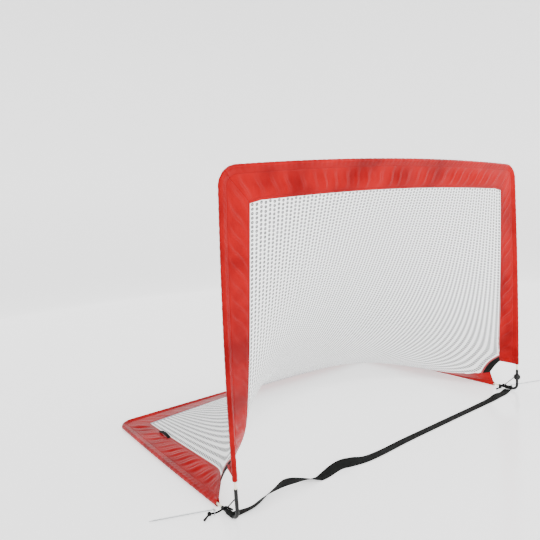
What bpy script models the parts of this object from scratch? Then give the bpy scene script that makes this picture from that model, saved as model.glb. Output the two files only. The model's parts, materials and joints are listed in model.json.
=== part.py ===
"""Pop up goal: two rod hoops joined at the feet, with fabric sleeves and one net stretched between them."""

import math

import bmesh
import bpy
import numpy as np

# Frame: X across the mouth, +Y to the rear bar, +Z up, origin on the ground under the middle.
HALF_WIDTH = 0.600
HEIGHT = 0.795
MOUTH_Y = -0.3745
REAR_Y = 0.3745
TOP_INSET = 0.017
REAR_INSET = 0.015
CROSSBAR_RISE = 0.018
POST_BOW = 0.007
RAIL_BOW = 0.004
BASE_Z = 0.0070
CORNER_R = 0.045
ELBOW_R = 0.018

ROD_R = 0.003
HOSE_R = 0.0045
HOSE_WALL = 0.0012
HOSE_GRIP = 0.030
BAND = 0.078
CHANNEL_R = 0.0056
POCKET_R = 0.0070
BAND_HALF = 0.0011
POST_SLEEVE_Z = 0.100
RAIL_SLEEVE_Y = 0.088
POST_HOSE_Z = 0.080
RAIL_HOSE_Y = 0.068
GAP = 0.0003
NET_HALF = 0.0006
NET_EDGE_GAP = 0.0022
WEBBING = 0.025
WEBBING_HALF = 0.0007
BINDING = 0.007
BINDING_HALF = 0.0009
PATCH_BULGE = 0.009
SEAM_BULGE = 0.006
PATCH_END_GAP = 0.0012
POST_CORNER = (0.016, 0.056, 0.004)
RAIL_CORNER = (0.016, 0.006, 0.048)
CORNER_PULL = 0.060
PULL_ACROSS = 1.0
PULL_ALONG = 2.0
PULL_EDGE = 6.0
BRACE_R = 0.0012
BRACE_Z = 0.053
BRACE_Y = 0.047
ROPE_R = 0.002
BALL_R = 0.0115
KNOT_R = 0.0058
RING_R = 0.0075
RING_WIRE = 0.0007
PEG_R = 0.00175
PEG_LENGTH = 0.150
HOOK_R = 0.0032
LOOP_WIDTH = 0.010
LOOP_ARCH = 0.006
LOOP_START = 0.480
LOOP_END = 0.578
ROD_STOP = 0.004
SEAM_OUT = 0.016
STRAP_LIFT = 0.0010
STRAP_POINTS = 58
STRAP_LOOP = (0.0185, 0.0435)
STRAP_LOOP_WALL = 0.0016
TAIL_R = 0.0026

# Where each peg rope lies round its foot: out from the middle, back from the mouth, and up.
PEG_SETS = {
    "left": {
        "rope": [(0.5830, 0.0470, 0.0030), (0.5928, 0.0520, 0.0100), (0.5998, 0.0540, 0.0138),
                 (0.6098, 0.0560, 0.0090), (0.6220, 0.0600, 0.0055), (0.6309, 0.0640, 0.0056)],
        "knot": (0.6370, 0.0650, 0.0061),
        "tail": [(0.6427, 0.0620, 0.0056), (0.6510, 0.0575, 0.0040), (0.6570, 0.0545, 0.0033)],
        "ring": (0.6255, 0.0615, 0.0085),
        "turn": 0.35,
        "heading": (0.89, 0.46),
    },
    "right": {
        "rope": [(0.5906, 0.0540, 0.0088), (0.5934, 0.0529, 0.0122), (0.5998, 0.0515, 0.0142),
                 (0.6064, 0.0490, 0.0119), (0.6110, 0.0450, 0.0072), (0.6140, 0.0400, 0.0055),
                 (0.6158, 0.0340, 0.0050), (0.6165, 0.0270, 0.0035)],
        "knot": (0.5835, 0.0545, 0.0061),
        "tail": [(0.5774, 0.0555, 0.0056), (0.5710, 0.0572, 0.0040), (0.5650, 0.0588, 0.0033)],
        "ring": (0.6158, 0.0345, 0.0085),
        "turn": 1.45,
        "heading": (0.958, -0.285),
    },
}

GOAL = bpy.data.collections.new("pop_up_goal")
GUIDES = bpy.data.collections.new("cutters")


def reset():
    for obj in list(bpy.data.objects):
        bpy.data.objects.remove(obj, do_unlink=True)
    for collection in (GOAL, GUIDES):
        bpy.context.scene.collection.children.link(collection)


def material(name, colour, roughness, metallic=0.0):
    mat = bpy.data.materials.new(name)
    mat.use_nodes = True
    shader = mat.node_tree.nodes["Principled BSDF"]
    shader.inputs["Base Color"].default_value = (*colour, 1.0)
    shader.inputs["Roughness"].default_value = roughness
    shader.inputs["Metallic"].default_value = metallic
    return mat


def add_object(name, data, mat):
    obj = bpy.data.objects.new(name, data)
    data.materials.append(mat)
    GOAL.objects.link(obj)
    return obj


def unit(v):
    return v / np.linalg.norm(v, axis=-1, keepdims=True)


# ---- rod lines -------------------------------------------------------------------------------


def post_point(side, z):
    t = z / HEIGHT
    out = HALF_WIDTH - TOP_INSET * t + POST_BOW * math.sin(math.pi * min(t, 1.0))
    return np.array([side * out, MOUTH_Y, z])


def crossbar_point(x):
    u = x / (HALF_WIDTH - TOP_INSET)
    return np.array([x, MOUTH_Y, HEIGHT + CROSSBAR_RISE * (1 - u * u)])


def rail_point(side, y):
    t = (y - MOUTH_Y) / (REAR_Y - MOUTH_Y)
    out = HALF_WIDTH - REAR_INSET * t + RAIL_BOW * math.sin(math.pi * t)
    return np.array([side * out, y, BASE_Z])


def rear_point(x):
    return np.array([x, REAR_Y, BASE_Z])


def corner_arc(corner, toward_a, toward_b, radius, count):
    """Points of the round corner between two lines that meet at right angles, nearly, at corner."""
    a, b = unit(toward_a), unit(toward_b)
    half = 0.5 * math.acos(float(np.clip(a @ b, -1, 1)))
    centre = corner + unit(a + b) * radius / math.sin(half)
    start = corner + a * radius / math.tan(half) - centre
    end = corner + b * radius / math.tan(half) - centre
    turn = math.acos(float(np.clip(start @ end / radius**2, -1, 1)))
    steps = np.linspace(0, 1, count)[:, None]
    return centre + (np.sin((1 - steps) * turn) * start + np.sin(steps * turn) * end) / math.sin(turn)


def top_arc(side, count=9):
    corner = crossbar_point(side * (HALF_WIDTH - TOP_INSET))
    down = post_point(side, HEIGHT - 0.1) - corner
    across = crossbar_point(side * (HALF_WIDTH - TOP_INSET - 0.1)) - corner
    return corner_arc(corner, down, across, CORNER_R, count)


def rear_arc(side, count=9):
    corner = rear_point(side * (HALF_WIDTH - REAR_INSET))
    forward = rail_point(side, REAR_Y - 0.1) - corner
    across = rear_point(side * (HALF_WIDTH - REAR_INSET - 0.1)) - corner
    return corner_arc(corner, forward, across, CORNER_R, count)


# ---- net film --------------------------------------------------------------------------------


def settle(grid, fixed, rounds):
    """Lets the free points of a grid of threads settle under the pulls across and along it."""
    total = 2 * (PULL_ACROSS + PULL_ALONG)
    free_edge = np.nonzero(~fixed[0])[0]
    for _ in range(rounds):
        inner = PULL_ACROSS * (grid[:-2, 1:-1] + grid[2:, 1:-1])
        inner = (inner + PULL_ALONG * (grid[1:-1, :-2] + grid[1:-1, 2:])) / total
        edges = []
        for row, beside in ((0, 1), (-1, -2)):
            hem = PULL_EDGE * (grid[row, free_edge - 1] + grid[row, free_edge + 1])
            edges.append((hem + PULL_ACROSS * grid[beside, free_edge]) / (2 * PULL_EDGE + PULL_ACROSS))
        grid[1:-1, 1:-1] = inner
        grid[0, free_edge] = edges[0]
        grid[-1, free_edge] = edges[1]
    return grid


def stretched(left, free_edge, top, rear, rounds=3500):
    """Grid of points from left edge to right edge, of the net stretched on those four edges."""
    right = left * np.array([-1, 1, 1])
    across = np.linspace(0, 1, len(top))[:, None, None]
    along = np.linspace(0, 1, len(left))[None, :, None]
    grid = 0.5 * (left * (1 - across) + right * across)
    grid += 0.5 * (top[:, None] * (1 - along) + rear[:, None] * along)
    grid[0], grid[-1], grid[:, 0], grid[:, -1] = left, right, top, rear
    fixed = np.ones(grid.shape[:2], bool)
    fixed[:, free_edge] = False
    return settle(grid, fixed, rounds)


def between(a, b, count):
    steps = np.linspace(0, 1, count + 2)[1:-1, None]
    return a + (b - a) * steps


def distances(points):
    return np.concatenate([[0], np.cumsum(np.linalg.norm(np.diff(points[:, :3], axis=0), axis=1))])


def resample(points, count):
    """Evenly spaced points along a line; a fourth column, if any, is carried along."""
    length = distances(points)
    wanted = np.linspace(0, length[-1], count)
    return np.stack([np.interp(wanted, length, column) for column in points.T], 1)


def rod_film():
    """The film stretched on the rods themselves; the sleeves take their slant from it."""
    posts, webs, rails, widths = 28, 5, 26, 33
    left = np.array([post_point(-1, z) for z in np.linspace(HEIGHT, POST_SLEEVE_Z, posts)])
    rail = np.array([rail_point(-1, y) for y in np.linspace(MOUTH_Y + RAIL_SLEEVE_Y, REAR_Y, rails)])
    left = np.concatenate([left, between(left[-1], rail[0], webs), rail])
    reach = np.linspace(-1, 1, widths)
    top = np.array([crossbar_point(u * (HALF_WIDTH - TOP_INSET)) for u in reach])
    rear = np.array([rear_point(u * (HALF_WIDTH - REAR_INSET)) for u in reach])
    grid = stretched(left, slice(posts, posts + webs), top, rear)
    return grid, posts, posts + webs


def step_in(lines, width):
    """For each grid line, the point that is width away from its first point."""
    found = []
    for line in lines:
        away = np.linalg.norm(line - line[0], axis=1)
        k = max(int(np.argmax(away >= width)), 1)
        t = (width - away[k - 1]) / (away[k] - away[k - 1])
        found.append(line[k - 1] + (line[k] - line[k - 1]) * t)
    return np.array(found)


def cut_at(path, axis, level):
    """The start of a path, up to where its coordinate along an axis passes level."""
    value = path[:, axis]
    k = int(np.argmax((value[1:] - level) * (value[:-1] - level) <= 0))
    t = (level - value[k]) / (value[k + 1] - value[k])
    return np.concatenate([path[: k + 1], [path[k] + (path[k + 1] - path[k]) * t]])


class Bands:
    """Outer lines, on the rods, and inner lines, where the net starts, of the left half."""

    def __init__(self):
        film, post_end, rail_start = rod_film()
        side = step_in(film.swapaxes(0, 1), BAND)
        top = step_in(film, BAND)
        rear = step_in(film[:, ::-1], BAND)
        middle = len(top) // 2
        post = side[:post_end][::-1]
        rail = side[rail_start:]
        post = cut_at(post, 2, HEIGHT - BAND)
        rail = cut_at(rail, 1, REAR_Y - BAND)
        self.post = self.drawn(post, post_point(-1, POST_SLEEVE_Z) + POST_CORNER)
        self.rail = self.drawn(rail, rail_point(-1, MOUTH_Y + RAIL_SLEEVE_Y) + RAIL_CORNER)
        self.top = self.half(self.post[-1], top[:middle + 1])
        self.rear = self.half(self.rail[-1], rear[:middle + 1])

    @staticmethod
    def drawn(path, corner):
        """The line with its first point drawn to the sleeve's lower corner, and the rest eased after it."""
        ease = np.clip(1 - distances(path) / CORNER_PULL, 0, 1)[:, None]
        return path + (corner - path[0]) * ease * ease

    @staticmethod
    def half(corner, line):
        return np.concatenate([[corner], line[line[:, 0] > corner[0]]])


def mirrored(path, side):
    return path * np.array([-side, 1, 1])


def whole(half):
    """A left half line and its mirror image, as one line across the goal."""
    return np.concatenate([half, mirrored(half[:-1], 1)[::-1]])


# ---- solids ----------------------------------------------------------------------------------


def loft(name, rings, mat, holes=None):
    """Closed solid through rings of points, each ring the same length, with an optional channel."""
    bm = bmesh.new()
    outer = [[bm.verts.new(p) for p in ring] for ring in rings]
    inner = [[bm.verts.new(p) for p in ring] for ring in holes] if holes is not None else None
    for skin in (outer, inner):
        for a, b in zip(skin[:-1], skin[1:]) if skin else ():
            for i in range(len(a)):
                j = (i + 1) % len(a)
                bm.faces.new((a[i], a[j], b[j], b[i]))
    for k in (0, -1):
        if inner is None:
            bm.faces.new(outer[k])
            continue
        for i in range(len(outer[k])):
            j = (i + 1) % len(outer[k])
            bm.faces.new((outer[k][i], outer[k][j], inner[k][j], inner[k][i]))
    bmesh.ops.recalc_face_normals(bm, faces=bm.faces[:])
    mesh = bpy.data.meshes.new(name)
    bm.to_mesh(mesh)
    bm.free()
    return add_object(name, mesh, mat)


def tube(name, points, radius, mat, wall=0.0):
    """Round bar along points, or an open pipe if wall is given."""
    curve = bpy.data.curves.new(name, "CURVE")
    curve.dimensions = "3D"
    curve.bevel_depth = radius
    curve.bevel_resolution = 2
    curve.use_fill_caps = wall == 0.0
    spline = curve.splines.new("POLY")
    spline.points.add(len(points) - 1)
    for place, p in zip(spline.points, points):
        place.co = (*p, 1.0)
    obj = add_object(name, curve, mat)
    if wall:
        pipe = obj.modifiers.new("wall", "SOLIDIFY")
        pipe.thickness = wall
        pipe.offset = -1.0
    return obj


def ribbon(name, line, width_dirs, half_width, half_thick, mat):
    """Flat strap along a line, lying towards width_dirs."""
    line = np.asarray(line, float)
    along = unit(np.gradient(line, axis=0))
    rings = []
    for p, t, w in zip(line, along, width_dirs):
        across = unit(w - t * (w @ t))
        up = np.cross(t, across)
        corners = ((1, 1), (-1, 1), (-1, -1), (1, -1))
        rings.append([p + across * half_width * a + up * half_thick * b for a, b in corners])
    return loft(name, rings, mat)


def smooth(points, count):
    """Catmull-Rom curve through a few chosen points, evenly spaced."""
    pts = np.asarray(points, float)
    pts = np.concatenate([[2 * pts[0] - pts[1]], pts, [2 * pts[-1] - pts[-2]]])
    fine = []
    for a, b, c, d in zip(pts[:-3], pts[1:-2], pts[2:-1], pts[3:]):
        for t in np.linspace(0, 1, 12, endpoint=False):
            fine.append(0.5 * (2 * b + (c - a) * t + (2 * a - 5 * b + 4 * c - d) * t**2
                               + (3 * b - a - 3 * c + d) * t**3))
    fine.append(pts[-2])
    return resample(np.array(fine), count)


def sleeve(name, outer, inner, mat, trim):
    """Fabric sleeve: a pocket round the rod line and a flat band to the net edge, as one solid."""
    count = len(outer)
    along = unit(np.gradient(outer, axis=0))
    across = unit(inner - outer)
    normal = unit(np.cross(along, across))
    outer, inner = outer.copy(), inner.copy()
    for k, inward in ((0, 1), (-1, -1)):
        step = unit(np.cross(across[k], normal[k])) * trim[k]
        step = step if step @ along[k] * inward > 0 else -step
        outer[k] += step
        inner[k] += step
    rings, holes = [], []
    angles = np.radians([30, 75, 120, 180, 240, 285, 330])
    for k in range(count):
        side = unit(across[k] - along[k] * (across[k] @ along[k]))
        slant = across[k] / (across[k] @ side)
        width = (inner[k] - outer[k]) @ side
        profile = [(POCKET_R * math.cos(a), POCKET_R * math.sin(a)) for a in angles]
        profile += [(SEAM_OUT, -BAND_HALF), (width, -BAND_HALF), (width, BAND_HALF), (SEAM_OUT, BAND_HALF)]
        rings.append([outer[k] + slant * a + normal[k] * b for a, b in profile])
        spread = np.radians([30, 75, 120, 180, 240, 285, 330, 345, 352, 8, 15])
        holes.append([outer[k] + slant * CHANNEL_R * math.cos(a) + normal[k] * CHANNEL_R * math.sin(a)
                      for a in spread])
    return loft(name, rings, mat, holes)


def film_solid(name, grid, mat):
    """Thin closed solid on both sides of a grid of points."""
    normal = unit(np.cross(np.gradient(grid, axis=0), np.gradient(grid, axis=1)))
    bm = bmesh.new()
    rows, columns = grid.shape[:2]
    faces = []
    for half in (-NET_HALF, NET_HALF):
        skin = [[bm.verts.new(grid[i, j] + normal[i, j] * half) for j in range(columns)] for i in range(rows)]
        faces.append(skin)
        for i in range(rows - 1):
            for j in range(columns - 1):
                bm.faces.new((skin[i][j], skin[i + 1][j], skin[i + 1][j + 1], skin[i][j + 1]))
    rim = [(i, 0) for i in range(rows)] + [(rows - 1, j) for j in range(1, columns)]
    rim += [(i, columns - 1) for i in range(rows - 2, -1, -1)] + [(0, j) for j in range(columns - 2, 0, -1)]
    for (a, b), (c, d) in zip(rim, rim[1:] + rim[:1]):
        bm.faces.new((faces[0][a][b], faces[0][c][d], faces[1][c][d], faces[1][a][b]))
    bmesh.ops.triangulate(bm, faces=bm.faces[:])
    bmesh.ops.recalc_face_normals(bm, faces=bm.faces[:])
    mesh = bpy.data.meshes.new(name)
    bm.to_mesh(mesh)
    bm.free()
    return add_object(name, mesh, mat)


# ---- the goal --------------------------------------------------------------------------------

reset()
red = material("red_fabric", (0.74, 0.013, 0.018), 0.45)
black = material("black_webbing", (0.008, 0.009, 0.009), 0.8)
hose_black = material("black_hose", (0.01, 0.01, 0.011), 0.4)
fibreglass = material("fibreglass", (0.79, 0.76, 0.60), 0.35)
netting = material("white_net", (0.9, 0.9, 0.9), 0.7)
steel = material("steel", (0.55, 0.56, 0.57), 0.3, 1.0)
cord_black = material("black_cord", (0.01, 0.01, 0.01), 0.7)

bands = Bands()
SIDES = ((-1, "left"), (1, "right"))


def rods_and_hoses():
    top = CORNER_R + ROD_STOP
    bar = [crossbar_point(x) for x in np.linspace(-1, 1, 17) * (HALF_WIDTH - TOP_INSET - top)]
    tube("crossbar_rod", bar, ROD_R, fibreglass)
    rear = [rear_point(x) for x in np.linspace(-1, 1, 3) * (HALF_WIDTH - REAR_INSET - top)]
    tube("rear_rod", rear, ROD_R, fibreglass)
    for side, word in SIDES:
        post = [post_point(side, z) for z in np.linspace(ELBOW_R + BASE_Z + ROD_STOP, HEIGHT - top, 13)]
        tube(f"post_rod_{word}", post, ROD_R, fibreglass)
        ys = np.linspace(MOUTH_Y + ELBOW_R + ROD_STOP, REAR_Y - top, 13)
        tube(f"rail_rod_{word}", [rail_point(side, y) for y in ys], ROD_R, fibreglass)
        below = [post_point(side, HEIGHT - CORNER_R - d) for d in np.linspace(HOSE_GRIP, 0.005, 3)]
        beyond = [crossbar_point(side * (HALF_WIDTH - TOP_INSET - CORNER_R - d))
                  for d in np.linspace(0.005, HOSE_GRIP, 3)]
        tube(f"corner_hose_top_{word}", [*below, *top_arc(side), *beyond], HOSE_R, hose_black, HOSE_WALL)
        before = [rail_point(side, REAR_Y - CORNER_R - d) for d in np.linspace(HOSE_GRIP, 0.005, 3)]
        beside = [rear_point(side * (HALF_WIDTH - REAR_INSET - CORNER_R - d))
                  for d in np.linspace(0.005, HOSE_GRIP, 3)]
        tube(f"corner_hose_rear_{word}", [*before, *rear_arc(side), *beside], HOSE_R, hose_black, HOSE_WALL)
        foot = np.array([post_point(side, BASE_Z)[0], MOUTH_Y, BASE_Z])
        elbow = corner_arc(foot, np.array([0, 0, 1.0]), np.array([0, 1.0, 0]), ELBOW_R, 8)
        high = [post_point(side, z) for z in np.linspace(POST_HOSE_Z, ELBOW_R + BASE_Z + 0.003, 4)]
        far = [rail_point(side, MOUTH_Y + y) for y in np.linspace(ELBOW_R + 0.003, RAIL_HOSE_Y, 4)]
        tube(f"elbow_hose_{word}", [*high, *elbow, *far], HOSE_R, hose_black, HOSE_WALL)


def sleeves():
    reach = np.linspace(-1, 1, 21)
    top_line = np.array([crossbar_point(x) for x in reach * (HALF_WIDTH - TOP_INSET - CORNER_R)])
    rear_line = np.array([rear_point(x) for x in reach * (HALF_WIDTH - REAR_INSET - CORNER_R)])
    ends = (GAP, GAP)
    top_outer = np.concatenate([top_arc(-1)[4:-1], top_line, top_arc(1)[4:-1][::-1]])
    rear_outer = np.concatenate([rear_arc(-1)[4:-1], rear_line, rear_arc(1)[4:-1][::-1]])
    sleeve("crossbar_sleeve", top_outer, spread_like(whole(bands.top), top_outer), red, ends)
    sleeve("rear_sleeve", rear_outer, spread_like(whole(bands.rear), rear_outer), red, ends)
    for side, word in SIDES:
        heights = np.linspace(POST_SLEEVE_Z, HEIGHT - CORNER_R, 14)
        outer = np.concatenate([[post_point(side, z) for z in heights], top_arc(side)[1:5]])
        inner = spread_like(mirrored(bands.post, side), outer)
        sleeve(f"post_sleeve_{word}", outer, inner, red, (0.0, GAP))
        ys = np.linspace(MOUTH_Y + RAIL_SLEEVE_Y, REAR_Y - CORNER_R, 14)
        outer = np.concatenate([[rail_point(side, y) for y in ys], rear_arc(side)[1:5]])
        inner = spread_like(mirrored(bands.rail, side), outer)
        sleeve(f"rail_sleeve_{word}", outer, inner, red, (0.0, GAP))


def spread_like(path, model):
    """Points of path at the same shares of its length as the points of model."""
    length = distances(path)
    share = distances(model)
    wanted = share / share[-1] * length[-1]
    return np.stack([np.interp(wanted, length, path[:, k]) for k in range(3)], 1)


def net_and_patches():
    lower = np.concatenate([[bands.post[0]], [bands.rail[0]]])
    arm = WEBBING + BINDING
    post_from = walk(bands.post, arm)
    rail_from = walk(bands.rail, arm)
    foot = np.array([-HALF_WIDTH, MOUTH_Y, BASE_Z])
    bulge = unit((post_from + rail_from) / 2 - foot)
    arch = np.sin(np.linspace(0, math.pi, 9))[:, None] * bulge
    ease = np.linspace(0, 1, 9)[:, None]
    free_line = lower[0] + (lower[1] - lower[0]) * ease + arch * PATCH_BULGE
    net_line = post_from + (rail_from - post_from) * ease + arch * SEAM_BULGE
    side = np.concatenate([bands.post[bands.post[:, 2] > post_from[2] + 0.004][::-1], net_line,
                           bands.rail[bands.rail[:, 1] > rail_from[1] + 0.004]])
    side = resample(side, 27)
    grid = stretched(side, slice(0, 0), resample(whole(bands.top), 21), resample(whole(bands.rear), 21), 1500)
    film_solid("net", shrink(grid, NET_EDGE_GAP), netting)
    for side_sign, word in SIDES:
        flip = mirrored(np.stack([free_line, net_line]), side_sign)
        strip = flip[0] + (flip[1] - flip[0]) * (WEBBING / arm)
        seam = flip[0] + (flip[1] - flip[0]) * ((WEBBING + 2 * GAP) / arm)
        patch(f"corner_patch_{word}", flip[0], strip, WEBBING_HALF, black)
        patch(f"patch_binding_{word}", seam, flip[1], BINDING_HALF, red)


def walk(path, distance):
    """The point a distance along a path."""
    length = distances(path)
    return np.array([np.interp(distance, length, path[:, k]) for k in range(3)])


def shrink(grid, inset):
    """Draws the four edges of a grid in, so that the net stops short of what it is sewn to."""
    out = grid.copy()
    for edge, beside in (((0, slice(None)), (1, slice(None))), ((-1, slice(None)), (-2, slice(None))),
                         ((slice(None), 0), (slice(None), 1)), ((slice(None), -1), (slice(None), -2))):
        out[edge] += unit(grid[beside] - grid[edge]) * inset
    return out


def patch(name, low, high, half, mat):
    """Flat strip between two lines, with its ends held back from the sleeves."""
    along = unit(np.gradient(low, axis=0))
    low, high = low.copy(), high.copy()
    for line in (low, high):
        line[0] += along[0] * PATCH_END_GAP
        line[-1] -= along[-1] * PATCH_END_GAP
    normal = unit(np.cross(along, high - low))
    rings = [[a + n * half, b + n * half, b - n * half, a - n * half] for a, b, n in zip(low, high, normal)]
    loft(name, rings, mat)


def strap():
    """Ground strap across the mouth, with twists of slack in its left half, sewn to the foot loops."""
    route = np.array([
        (-0.5915, 0.031, 0), (-0.545, 0.022, -20), (-0.500, 0.034, -36), (-0.474, 0.039, -50),
        (-0.428, 0.045, -76), (-0.382, 0.032, -44), (-0.330, 0.018, 5), (-0.262, 0.020, 58),
        (-0.224, 0.013, 48), (-0.174, 0.007, 15), (-0.107, 0.007, 5), (0.0, 0.012, 2),
        (0.150, 0.014, 0), (0.330, 0.015, 0), (0.450, 0.015, 4), (0.500, 0.017, 16),
        (0.545, 0.020, 4), (0.5915, 0.031, 0)])
    turned = np.radians(route[:, 2])
    flat = np.zeros(len(route))
    fine = smooth(np.column_stack([route[:, 0], MOUTH_Y + route[:, 1], flat, turned]), STRAP_POINTS)
    twist = fine[:, 3]
    line = fine[:, :3]
    line[:, 2] = WEBBING / 2 * np.abs(np.sin(twist)) + WEBBING_HALF + STRAP_LIFT
    across = np.stack([0 * twist, np.cos(twist), np.sin(twist)], 1)
    ribbon("ground_strap", line, across, WEBBING / 2, WEBBING_HALF, black)


def feet():
    for side, word in SIDES:
        post = post_point(side, BRACE_Z)
        rail = rail_point(side, MOUTH_Y + BRACE_Y)
        start = post + np.array([0, HOSE_R + BRACE_R + GAP * 2, 0])
        end = rail + np.array([0, 0, HOSE_R + BRACE_R + GAP * 2])
        if side > 0:
            start = start + unit(end - start) * (BALL_R - HOSE_R)
        tube(f"brace_cord_{word}", [start, *between(start, end, 2), end], BRACE_R, cord_black)
        loop = [rail_point(side, MOUTH_Y + y) for y in np.linspace(*STRAP_LOOP, 4)]
        tube(f"strap_loop_{word}", loop, HOSE_R + STRAP_LOOP_WALL + GAP, black, STRAP_LOOP_WALL)
        peg_and_rope(side, word)
    ball = post_point(1, BRACE_Z)
    rings, holes = [], []
    for turn in np.radians(np.linspace(24, 156, 9)):
        height = -BALL_R * math.cos(turn)
        radius = BALL_R * math.sin(turn)
        for ring, size in ((rings, radius), (holes, HOSE_R + GAP)):
            ring.append([ball + (size * math.cos(a), size * math.sin(a), height)
                         for a in np.linspace(0, 2 * math.pi, 16, endpoint=False)])
    loft("ball_stop_right", rings, hose_black, holes)


def peg_and_rope(side, word):
    lay = PEG_SETS[word]

    def placed(point):
        return np.array([side * point[0], MOUTH_Y + point[1], point[2]])

    tube(f"peg_rope_{word}", smooth([placed(p) for p in lay["rope"]], 22), ROPE_R, cord_black)
    bpy.ops.mesh.primitive_uv_sphere_add(segments=14, ring_count=8, radius=KNOT_R,
                                         location=placed(lay["knot"]))
    adopt(f"rope_knot_{word}", cord_black)
    tube(f"rope_tail_{word}", [placed(p) for p in lay["tail"]], TAIL_R, cord_black)
    ring = placed(lay["ring"])
    bpy.ops.mesh.primitive_torus_add(major_segments=24, minor_segments=8, major_radius=RING_R,
                                     minor_radius=RING_WIRE, location=ring,
                                     rotation=(0, math.pi / 2, side * lay["turn"]))
    adopt(f"peg_ring_{word}", steel)
    across = np.array([-math.sin(lay["turn"]), math.cos(lay["turn"]), 0]) * RING_R
    heading = unit(np.array([*lay["heading"], 0]))
    outer = across if across @ heading > 0 else -across
    pin = ring + outer * (side, 1, 1)
    heading = heading * (side, 1, 1)
    beside = np.array([-heading[1] * side, heading[0] * side, 0])
    turns = np.linspace(math.pi * 1.45, math.pi / 2, 9)
    hook = [pin + HOOK_R * (math.cos(t) * heading + math.sin(t) * beside) for t in turns]
    far = pin + heading * PEG_LENGTH + beside * HOOK_R
    tip = np.array([far[0], far[1], PEG_R + GAP])
    shank = [hook[-1] + (tip - hook[-1]) * t for t in (0.12, 0.4, 0.7, 1.0)]
    peg = tube(f"peg_{word}", [*(p - pin for p in hook), *(p - pin for p in shank)], PEG_R, steel)
    peg.location = pin


def adopt(name, mat):
    obj = bpy.context.active_object
    obj.name = name
    obj.data.name = name
    obj.data.materials.append(mat)
    for collection in list(obj.users_collection):
        collection.objects.unlink(obj)
    GOAL.objects.link(obj)
    return obj


def storage_loops():
    """Short webbing loops on the inner hems of the rail sleeves, which hold the folded goal shut."""
    for side, word in SIDES:
        hem = bands.rail[(bands.rail[:, 1] > MOUTH_Y + LOOP_START) & (bands.rail[:, 1] < MOUTH_Y + LOOP_END)]
        hem = mirrored(resample(hem, 9), side)
        rod = np.array([rail_point(side, y) for y in hem[:, 1]])
        across = unit(rod - hem)
        up = unit(np.cross(across, np.array([0, side, 0.0])))
        arch = np.sin(np.linspace(0, math.pi, 9))[:, None]
        lift = BAND_HALF + WEBBING_HALF + 3 * GAP + arch * LOOP_ARCH
        line = hem + across * (LOOP_WIDTH / 2 + 0.002) + up * lift
        ribbon(f"storage_loop_{word}", line, across, LOOP_WIDTH / 2, WEBBING_HALF, black)


rods_and_hoses()
sleeves()
net_and_patches()
strap()
feet()
storage_loops()
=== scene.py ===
import json
import math

import bpy
import numpy as np
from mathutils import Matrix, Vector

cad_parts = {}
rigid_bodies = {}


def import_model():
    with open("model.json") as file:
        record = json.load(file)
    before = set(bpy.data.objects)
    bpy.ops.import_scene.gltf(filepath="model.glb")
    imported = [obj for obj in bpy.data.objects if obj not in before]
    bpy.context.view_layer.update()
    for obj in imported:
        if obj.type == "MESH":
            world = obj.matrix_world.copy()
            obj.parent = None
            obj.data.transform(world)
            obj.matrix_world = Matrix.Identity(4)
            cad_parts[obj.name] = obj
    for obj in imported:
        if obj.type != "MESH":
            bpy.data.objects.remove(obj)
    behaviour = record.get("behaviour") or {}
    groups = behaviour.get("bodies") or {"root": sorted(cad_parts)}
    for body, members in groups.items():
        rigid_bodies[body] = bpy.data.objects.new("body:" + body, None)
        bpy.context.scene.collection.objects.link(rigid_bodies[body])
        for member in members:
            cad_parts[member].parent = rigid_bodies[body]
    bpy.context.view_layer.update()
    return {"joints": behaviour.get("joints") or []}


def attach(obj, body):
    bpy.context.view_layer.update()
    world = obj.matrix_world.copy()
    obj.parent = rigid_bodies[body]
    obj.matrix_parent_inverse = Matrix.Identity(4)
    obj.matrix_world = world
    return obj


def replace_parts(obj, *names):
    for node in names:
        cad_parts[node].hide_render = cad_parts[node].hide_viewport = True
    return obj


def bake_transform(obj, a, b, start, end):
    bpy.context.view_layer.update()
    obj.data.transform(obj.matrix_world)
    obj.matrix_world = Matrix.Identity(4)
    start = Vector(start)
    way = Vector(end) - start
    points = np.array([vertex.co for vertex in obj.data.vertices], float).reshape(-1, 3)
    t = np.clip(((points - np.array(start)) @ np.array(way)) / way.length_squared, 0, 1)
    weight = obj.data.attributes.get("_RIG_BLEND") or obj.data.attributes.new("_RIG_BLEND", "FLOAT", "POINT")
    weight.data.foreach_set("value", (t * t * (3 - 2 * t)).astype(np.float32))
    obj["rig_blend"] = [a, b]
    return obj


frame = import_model()

# The goal's main sizes in metres: x across the mouth, y from the mouth to the rear bar, z up.
goal = {
    "halfWidth": 0.600,
    "height": 0.795,
    "mouthY": -0.3745,
    "rearY": 0.3745,
    "topInset": 0.017,
    "rearInset": 0.015,
    "crossbarRise": 0.018,
    "postBow": 0.007,
    "railBow": 0.004,
    "rodZ": 0.0070,
    "cornerRadius": 0.045,
    "elbowRadius": 0.018,
    "bandWidth": 0.078,
    "postSleeveZ": 0.100,
    "railSleeveY": 0.088,
}
bothSides = ((-1, "left"), (1, "right"))
foldY, foldZ = next(j for j in frame["joints"] if j["name"] == "fold")["pos_m"][1:]

# The camera stands in front of the left post, a little above half the goal's height.
cameraSetup = {"place": (-1.2005, -1.3664, 0.7054), "turn": (83.408, 3.400, -36.862), "lens": 36.0}
cameraData = bpy.data.cameras.new("camera")
cameraData.lens = cameraSetup["lens"]
cameraData.sensor_width = 36.0
camera = bpy.data.objects.new("camera", cameraData)
camera.location = cameraSetup["place"]
camera.rotation_euler = [math.radians(a) for a in cameraSetup["turn"]]
collection = bpy.context.scene.collection.objects
collection.link(camera)
bpy.context.scene.camera = camera


def roundTurn(count):
    return np.linspace(0, 2 * math.pi, count, endpoint=False)


def unit(v):
    return v / np.maximum(np.linalg.norm(v, axis=-1, keepdims=True), 1e-12)


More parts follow.
